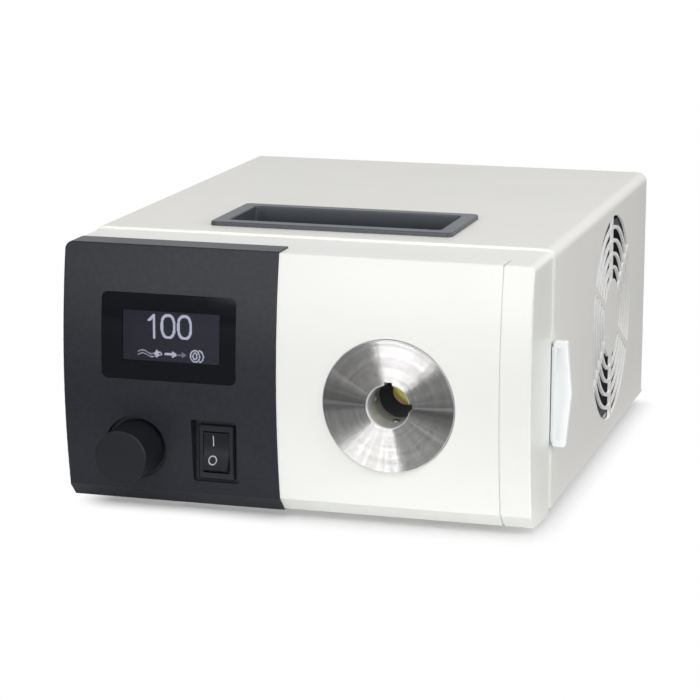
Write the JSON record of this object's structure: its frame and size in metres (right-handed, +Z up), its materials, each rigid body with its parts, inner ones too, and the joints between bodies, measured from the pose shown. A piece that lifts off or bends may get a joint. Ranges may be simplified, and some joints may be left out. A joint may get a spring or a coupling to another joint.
{
  "type": "fiber optic illuminator",
  "caption": "Bench light source with a keyed light-guide port, dimming knob, display, rocker switch, carry handle, fan grille and a filter drawer.",
  "frame": {"origin": "middle of the overall box on the table plane under the rubber feet", "axes": "+X to the right seen from the front, +Y from the front panel to the rear, +Z up"},
  "size_m": [0.2195, 0.298, 0.1218],
  "materials": {
    "cover_paint": "satin powder coat, light warm grey",
    "white_moulding": "fine satin, white",
    "grey_moulding": "fine satin, light warm grey",
    "anthracite": "fine matt texture, anthracite",
    "black_plastic": "matt, black",
    "window": "glossy, smoked",
    "display": "glossy, dark",
    "circuit_board": "solder mask, green",
    "turned_metal": "lathe-turned",
    "plain_aluminium": "satin",
    "zinc_steel": "zinc plated",
    "screw_steel": "nickel plated",
    "brass_contacts": "nickel-plated brass",
    "rubber": "matt, black",
    "glass": "clear, polished",
    "lamp_phosphor": "yellow phosphor",
    "wound_parts": "wound copper and ferrite"
  },
  "bodies": {
    "housing": {"top_cover": "cover_paint", "front_frame": "grey_moulding", "control_panel": "anthracite", "port_panel": "white_moulding", "front_bulkhead": "zinc_steel", "base_tray": "zinc_steel", "rear_panel": "cover_paint", "rubber_feet": "rubber", "feet_screws": "screw_steel", "cover_screws": "screw_steel", "chassis_screws": "screw_steel", "handle_cup": "black_plastic", "display_window": "window", "display_module": "display", "control_board": "circuit_board", "encoder_body": "black_plastic", "encoder_nut": "zinc_steel", "switch_body": "black_plastic", "switch_terminals": "brass_contacts", "port_flange": "turned_metal", "port_baffle": "black_plastic", "detent_spring_low": "zinc_steel", "detent_spring_side": "zinc_steel", "detent_screws": "zinc_steel", "drawer_guide": "black_plastic", "lens_barrel": "plain_aluminium", "lenses": "glass", "lens_rings": "plain_aluminium", "lamp_board": "plain_aluminium", "lamp_chip": "lamp_phosphor", "heat_sink": "plain_aluminium", "sink_angle": "zinc_steel", "lamp_screws": "screw_steel", "fan_frame": "black_plastic", "fan_motor": "zinc_steel", "fan_bracket": "zinc_steel", "fan_screws": "screw_steel", "mains_inlet": "black_plastic", "inlet_pins": "brass_contacts", "inlet_screws": "screw_steel", "standoffs": "zinc_steel", "board_screws": "screw_steel", "supply_board": "circuit_board", "supply_transformer": "wound_parts", "supply_capacitors": "wound_parts", "driver_board": "circuit_board"},
    "encoder_rotor": {"encoder_wheel": "wound_parts"},
    "knob": {"knob": "black_plastic", "knob_grub_screw": "screw_steel", "encoder_shaft": "zinc_steel"},
    "rocker": {"switch_rocker": "black_plastic"},
    "drawer": {"filter_drawer": "white_moulding", "filter_glass": "glass", "filter_ring": "plain_aluminium"},
    "fan": {"fan_impeller": "black_plastic", "fan_shaft": "zinc_steel"},
    "ball_low": {"detent_ball_low": "zinc_steel"},
    "ball_side": {"detent_ball_side": "zinc_steel"},
    "fuse_tray": {"fuse_drawer": "black_plastic", "fuses": "glass"}
  },
  "joints": [
    {"name": "knob_turn", "type": "hinge", "parent": "housing", "child": "encoder_rotor", "pos_m": [-0.07615, -0.125, 0.0295], "axis": [0, 1, 0], "continuous": true},
    {"name": "knob_press", "type": "slide", "parent": "encoder_rotor", "child": "knob", "axis": [0, 1, 0], "range_m": [0, 0.0005], "stiffness_N_per_m": 1500, "springref_m": -0.001},
    {"name": "rocker_tilt", "type": "hinge", "parent": "housing", "child": "rocker", "pos_m": [-0.03975, -0.124, 0.02905], "axis": [1, 0, 0], "range_deg": [0, 20]},
    {"name": "drawer_slide", "type": "slide", "parent": "housing", "child": "drawer", "axis": [1, 0, 0], "range_m": [0, 0.08]},
    {"name": "fan_spin", "type": "hinge", "parent": "housing", "child": "fan", "pos_m": [0.07455, 0.052, 0.0623], "axis": [1, 0, 0], "continuous": true},
    {"name": "ball_low_in", "type": "slide", "parent": "housing", "child": "ball_low", "axis": [0, 0, -1], "range_m": [0, 0.0008], "stiffness_N_per_m": 500, "springref_m": -0.0006, "deforming": ["detent_spring_low"]},
    {"name": "ball_side_in", "type": "slide", "parent": "housing", "child": "ball_side", "axis": [-1, 0, 0], "range_m": [0, 0.0008], "stiffness_N_per_m": 500, "springref_m": -0.0006, "deforming": ["detent_spring_side"]},
    {"name": "fuse_tray_slide", "type": "slide", "parent": "housing", "child": "fuse_tray", "axis": [0, 1, 0], "range_m": [0, 0.019]}
  ]
}
